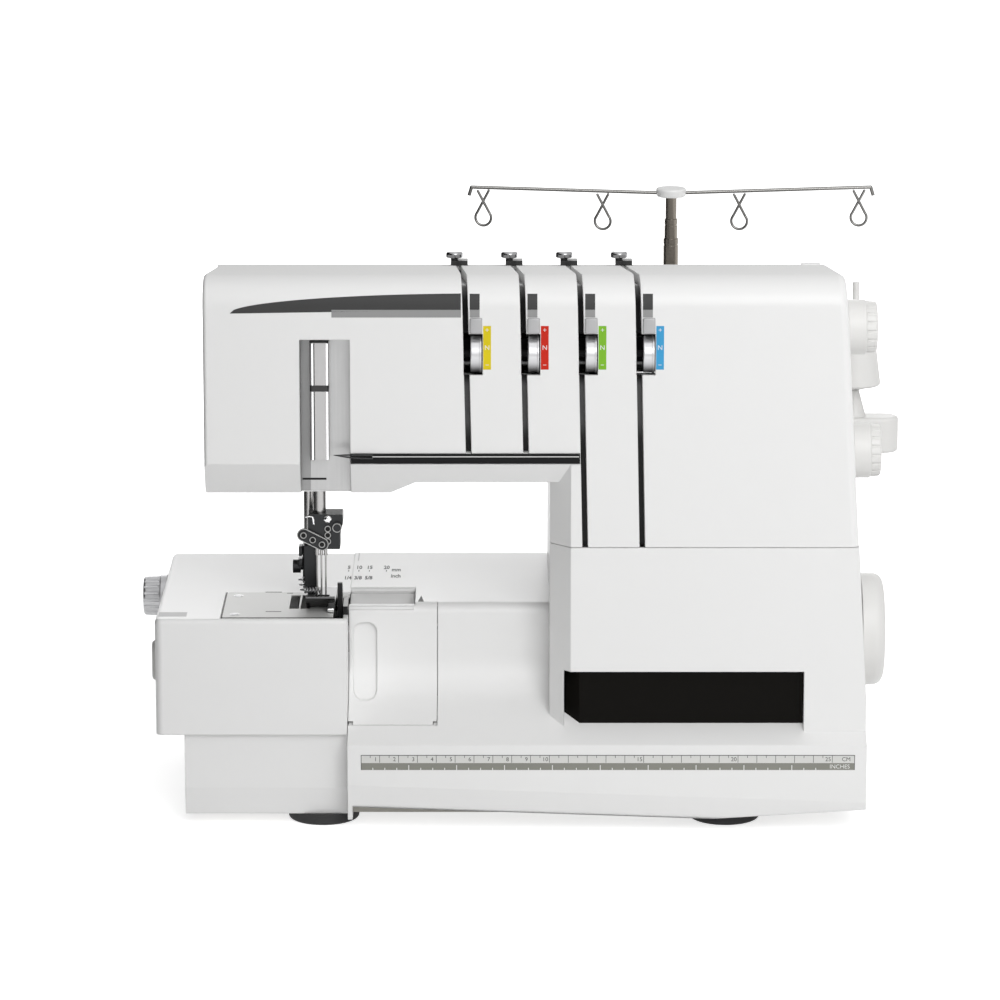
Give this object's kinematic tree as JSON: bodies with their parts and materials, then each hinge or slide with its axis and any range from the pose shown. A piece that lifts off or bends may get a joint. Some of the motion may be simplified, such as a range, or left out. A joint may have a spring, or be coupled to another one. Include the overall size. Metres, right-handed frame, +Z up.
{
  "type": "serger overlock machine",
  "caption": "White desktop overlock sewing machine with free arm, looper door, tension dials behind thread slots, side dials, handwheel, and a telescopic thread stand on a spool beam behind.",
  "frame": {"origin": "under the middle of the machine's overall box, on the table that its feet stand on", "axes": "+X to the sewer's right along the arm, +Y to the back, +Z up"},
  "size_m": [0.4206, 0.208, 0.3178],
  "materials": {
    "white_plastic": "satin white moulding",
    "black_plastic": "fine black moulding",
    "grey_plastic": "grey moulding",
    "silver_plastic": "satin silver",
    "rubber": "moulded rubber",
    "belt": "toothed belt",
    "steel": "ground steel",
    "dark_steel": "blued steel",
    "chrome": "polished",
    "cast": "cast aluminium",
    "bronze": "sintered bronze",
    "motor": "painted can"
  },
  "bodies": {
    "machine": {"base_shell": "white_plastic", "bottom_pan": "grey_plastic", "rubber_feet": "rubber", "arm_base_cover": "white_plastic", "free_arm_shell": "white_plastic", "needle_plate": "steel", "front_cover": "white_plastic", "rear_cover": "white_plastic", "cover_screws": "steel", "plinth_panel": "black_plastic", "slot_liners": "black_plastic", "thread_rail": "black_plastic", "take_up_guard": "silver_plastic", "tension_bracket": "steel", "pretension_guides": "chrome", "chassis": "cast", "bushes": "bronze", "pivot_pins": "steel", "motor": "motor", "drive_belt": "belt", "timing_belt": "belt", "lower_knife": "dark_steel", "power_inlet": "black_plastic", "spool_beam": "white_plastic", "spool_cones": "white_plastic", "pole_outer": "chrome"},
    "wheel_drive": {"main_shaft": "steel", "shaft_pulleys": "grey_plastic", "handwheel": "white_plastic"},
    "upper_drive": {"upper_shaft": "steel", "upper_pulley": "grey_plastic", "needle_crank": "steel"},
    "motor_rotor": {"motor_pulley": "steel"},
    "needle_unit": {"needle_bar": "chrome", "needle_clamp": "dark_steel", "needles": "chrome", "connecting_rod": "steel"},
    "presser_unit": {"presser_bar": "chrome", "foot_holder": "dark_steel", "presser_foot": "dark_steel"},
    "lifter": {"presser_lifter": "black_plastic"},
    "feed": {"feed_dog": "steel"},
    "lower_looper_arm": {"lower_looper": "chrome"},
    "upper_looper_arm": {"upper_looper": "chrome"},
    "knife_arm": {"upper_knife": "dark_steel"},
    "door": {"looper_door": "white_plastic"},
    "stitch_length_knob": {"stitch_dial": "white_plastic"},
    "differential_knob": {"feed_dial": "white_plastic"},
    "cutting_width_knob": {"cut_dial": "silver_plastic"},
    "release_button": {"arm_button": "white_plastic"},
    "switch_rocker": {"power_rocker": "black_plastic"},
    "pole_second": {"pole_middle": "chrome"},
    "pole_third": {"pole_inner": "chrome"},
    "thread_guide": {"guide_hub": "white_plastic", "guide_wire": "chrome", "thread_eyelets": "chrome"},
    "tension_1": {"tension_dial_1": "silver_plastic"},
    "tension_2": {"tension_dial_2": "silver_plastic"},
    "tension_3": {"tension_dial_3": "silver_plastic"},
    "tension_4": {"tension_dial_4": "silver_plastic"}
  },
  "joints": [
    {"name": "handwheel_turn", "type": "hinge", "parent": "machine", "child": "wheel_drive", "pos_m": [0.18105, -0.02, 0.091], "axis": [1, 0, 0], "continuous": true},
    {"name": "upper_shaft_turn", "type": "hinge", "parent": "machine", "child": "upper_drive", "pos_m": [0.04355, -0.054, 0.245], "axis": [1, 0, 0], "continuous": true},
    {"name": "motor_turn", "type": "hinge", "parent": "machine", "child": "motor_rotor", "pos_m": [0.13555, 0.026, 0.052], "axis": [1, 0, 0], "continuous": true},
    {"name": "needle_bar_slide", "type": "slide", "parent": "machine", "child": "needle_unit", "axis": [0, 0, 1], "range_m": [-0.01, 0.017]},
    {"name": "presser_lifter_turn", "type": "hinge", "parent": "machine", "child": "lifter", "pos_m": [-0.12545, 0.064, 0.2156], "axis": [0, -1, 0], "range_deg": [0, 60]},
    {"name": "presser_bar_slide", "type": "slide", "parent": "machine", "child": "presser_unit", "axis": [0, 0, 1], "range_m": [0, 0.006]},
    {"name": "feed_slide", "type": "slide", "parent": "machine", "child": "feed", "axis": [0, 1, 0], "range_m": [-0.002, 0.002]},
    {"name": "lower_looper_swing", "type": "hinge", "parent": "machine", "child": "lower_looper_arm", "pos_m": [-0.07645, -0.054, 0.066], "axis": [0, -1, 0], "range_deg": [-3, 8]},
    {"name": "upper_looper_swing", "type": "hinge", "parent": "machine", "child": "upper_looper_arm", "pos_m": [-0.06745, -0.054, 0.084], "axis": [0, 1, 0], "range_deg": [-6, 12]},
    {"name": "upper_knife_swing", "type": "hinge", "parent": "machine", "child": "knife_arm", "pos_m": [-0.10045, -0.028, 0.086], "axis": [1, 0, 0], "range_deg": [-4, 8]},
    {"name": "door_hinge", "type": "hinge", "parent": "machine", "child": "door", "pos_m": [-0.09445, -0.0845, 0.05355], "axis": [1, 0, 0], "range_deg": [0, 85]},
    {"name": "stitch_length_turn", "type": "hinge", "parent": "machine", "child": "stitch_length_knob", "pos_m": [0.18705, -0.044, 0.2623], "axis": [1, 0, 0], "range_deg": [-135, 135]},
    {"name": "differential_turn", "type": "hinge", "parent": "machine", "child": "differential_knob", "pos_m": [0.19005, -0.044, 0.1953], "axis": [1, 0, 0], "range_deg": [-135, 135]},
    {"name": "cutting_width_turn", "type": "hinge", "parent": "machine", "child": "cutting_width_knob", "pos_m": [-0.21025, 0.026, 0.0985], "axis": [-1, 0, 0], "range_deg": [-120, 120]},
    {"name": "release_button_press", "type": "slide", "parent": "machine", "child": "release_button", "axis": [1, 0, 0], "range_m": [0, 0.002], "stiffness_N_per_m": 600, "springref_m": -0.002},
    {"name": "power_rocker_tilt", "type": "hinge", "parent": "machine", "child": "switch_rocker", "pos_m": [0.17755, 0.041, 0.0559], "axis": [0, 1, 0], "range_deg": [-6, 6]},
    {"name": "pole_second_slide", "type": "slide", "parent": "machine", "child": "pole_second", "axis": [0, 0, 1], "range_m": [0, 0.08]},
    {"name": "pole_third_slide", "type": "slide", "parent": "pole_second", "child": "pole_third", "axis": [0, 0, 1], "range_m": [0, 0.085]},
    {"name": "thread_guide_swivel", "type": "hinge", "parent": "pole_third", "child": "thread_guide", "pos_m": [0.08175, 0.0895, 0.3116], "axis": [0, 0, 1], "range_deg": [-90, 90]},
    {"name": "tension_1_turn", "type": "hinge", "parent": "machine", "child": "tension_1", "pos_m": [-0.02895, -0.0875, 0.2561], "axis": [1, 0, 0], "range_deg": [-150, 150]},
    {"name": "tension_2_turn", "type": "hinge", "parent": "machine", "child": "tension_2", "pos_m": [0.0012, -0.0875, 0.2561], "axis": [1, 0, 0], "range_deg": [-150, 150]},
    {"name": "tension_3_turn", "type": "hinge", "parent": "machine", "child": "tension_3", "pos_m": [0.03135, -0.0875, 0.2561], "axis": [1, 0, 0], "range_deg": [-150, 150]},
    {"name": "tension_4_turn", "type": "hinge", "parent": "machine", "child": "tension_4", "pos_m": [0.0615, -0.0875, 0.2561], "axis": [1, 0, 0], "range_deg": [-150, 150]}
  ],
  "couplings": [
    {"joint": "upper_shaft_turn", "follows": "handwheel_turn", "ratio": 1},
    {"joint": "motor_turn", "follows": "handwheel_turn", "ratio": 3.375},
    {"joint": "presser_bar_slide", "follows": "presser_lifter_turn", "m_per_rad": 0.0057296}
  ]
}
